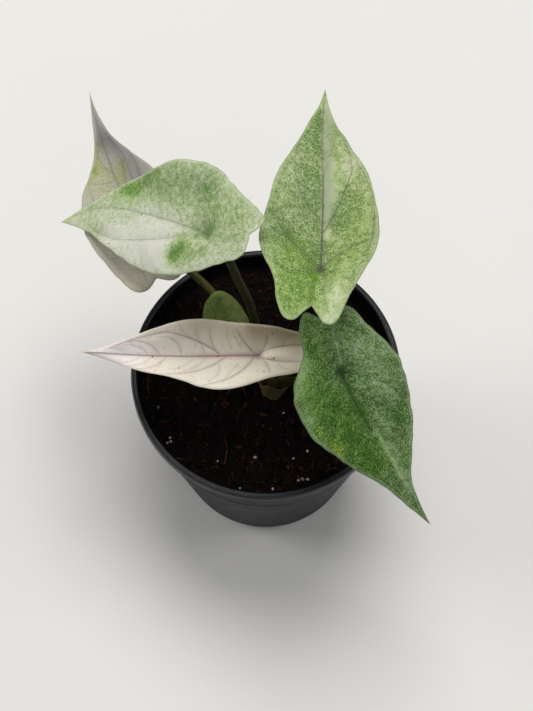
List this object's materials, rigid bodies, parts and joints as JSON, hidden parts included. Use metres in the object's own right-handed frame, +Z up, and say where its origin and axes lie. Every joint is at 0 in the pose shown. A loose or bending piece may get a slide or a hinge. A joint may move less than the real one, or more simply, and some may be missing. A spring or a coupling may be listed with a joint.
{
  "type": "potted alocasia scalprum",
  "caption": "Young variegated arrow-leaf alocasia in a round tapered nursery pot, with long pointed blades on bent stalks that rise from one crown in dark potting mix.",
  "frame": {"origin": "middle of the pot's flat underside", "axes": "+Z up out of the pot, +X to the right and -Y towards the viewer of the front"},
  "size_m": [0.1572, 0.2102, 0.2044],
  "materials": {
    "pot_plastic": "black, faintly glossy on the lip",
    "potting_mix": "damp coir and bark crumbs, matte",
    "corm_bark": "fibrous brown skin",
    "dry_sheath": "thin olive sheath with brown edges",
    "petiole": "smooth olive green, satin",
    "blade_far_left": "grey-lilac leaf with green specks, satin",
    "blade_left": "cream leaf marbled with pale green, satin",
    "blade_right": "leaf marbled mid green and cream, satin",
    "blade_front_right": "dark green leaf with silvery specks, satin",
    "blade_front_left": "cream leaf with grey-purple veins, satin",
    "blade_small": "small pale leaf with a green heart, satin"
  },
  "bodies": {
    "root": {"pot": "pot_plastic", "soil": "potting_mix", "corm": "corm_bark", "sheath": "dry_sheath", "blade_far_left": "blade_far_left", "blade_left": "blade_left", "blade_right": "blade_right", "blade_front_right": "blade_front_right", "blade_front_left": "blade_front_left", "blade_small": "blade_small", "petiole_far_left": "petiole", "petiole_left": "petiole", "petiole_right": "petiole", "petiole_front_right": "petiole", "petiole_front_left": "petiole", "petiole_small": "petiole"}
  },
  "joints": []
}
